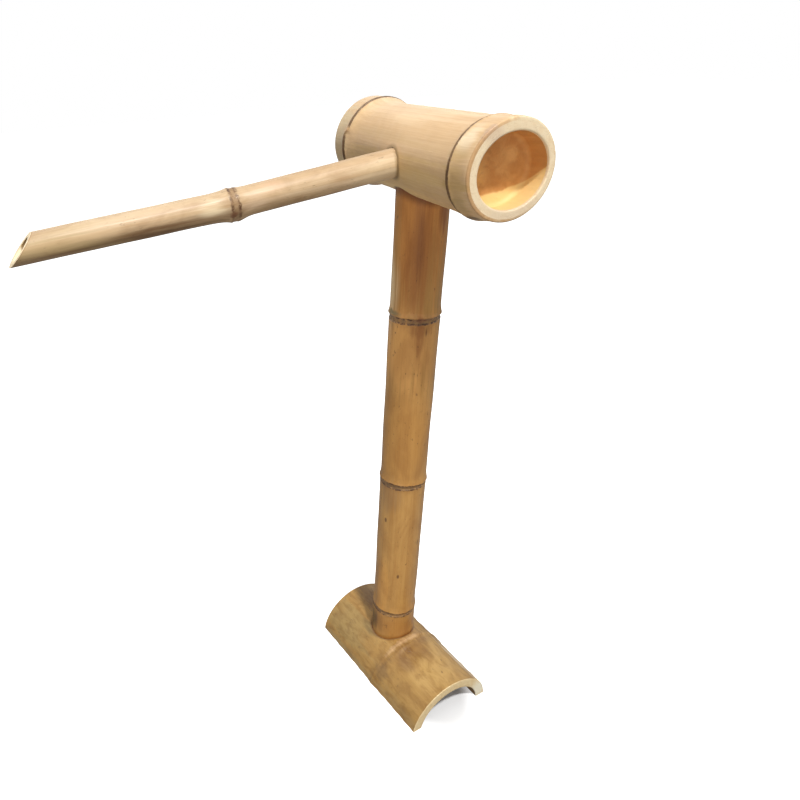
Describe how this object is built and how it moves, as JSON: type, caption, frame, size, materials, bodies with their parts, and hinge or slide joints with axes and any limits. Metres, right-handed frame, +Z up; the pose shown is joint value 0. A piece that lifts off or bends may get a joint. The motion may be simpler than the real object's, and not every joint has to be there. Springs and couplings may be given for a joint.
{
  "type": "bamboo water spout",
  "caption": "Free-standing bamboo garden fountain spout: an arched foot, an upright post, a level cross head with open cup ends and a slender slant-cut spout, fed by an inner tube.",
  "frame": {"origin": "on the surface that the foot rests on, under the post's axis", "axes": "+Z up along the post, the head level along Y with the cup that the picture shows at -Y, the spout towards -X and dropping a little"},
  "size_m": [0.3313, 0.1775, 0.5],
  "materials": {
    "foot_bamboo": "carbonised bamboo under satin lacquer, mottled brown, pale cut faces",
    "post_bamboo": "carbonised bamboo under satin lacquer, amber brown, darker near the head",
    "head_bamboo": "pale carbonised bamboo under satin lacquer, pale cut faces, orange brown inside",
    "spout_bamboo": "pale carbonised bamboo under gloss lacquer, dark node rings",
    "clear_tube": "clear flexible water tube"
  },
  "bodies": {
    "root": {"foot": "foot_bamboo", "post": "post_bamboo", "head": "head_bamboo", "spout": "spout_bamboo", "water_tube": "clear_tube"}
  },
  "joints": []
}
